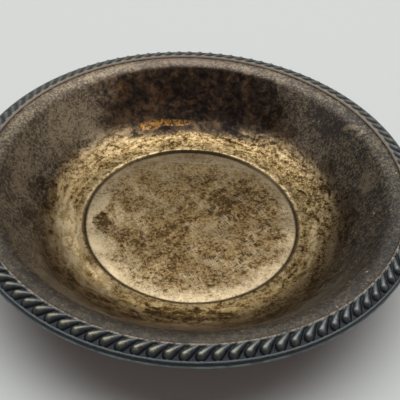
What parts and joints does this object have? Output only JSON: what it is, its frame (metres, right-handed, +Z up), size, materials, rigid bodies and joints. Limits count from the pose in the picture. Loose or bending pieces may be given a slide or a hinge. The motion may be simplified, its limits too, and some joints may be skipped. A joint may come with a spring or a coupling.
{
  "type": "round metal coin dish",
  "caption": "Shallow round metal dish with a sunk well, a curved wall and a falling brim that carries a soldered rope border over a plain edge wire.",
  "frame": {"origin": "centre of the dish's underside, on the surface that it stands on", "axes": "+Z up along the dish's own axis; the dish is round, so +X is any direction across it"},
  "size_m": [0.12, 0.12, 0.0205],
  "materials": {
    "body_metal": "pressed brass with worn, dark brown-gold tarnish and fine pitting",
    "border_metal": "struck and plated brass, tarnished blue-grey, with black grooves and worn, lighter tops",
    "solder": "dull grey soft solder",
    "wire_metal": "plated brass wire, satin, tarnished blue-grey"
  },
  "bodies": {
    "root": {"dish_body": "body_metal", "rope_border": "border_metal", "border_solder": "solder", "edge_wire": "wire_metal"}
  },
  "joints": []
}
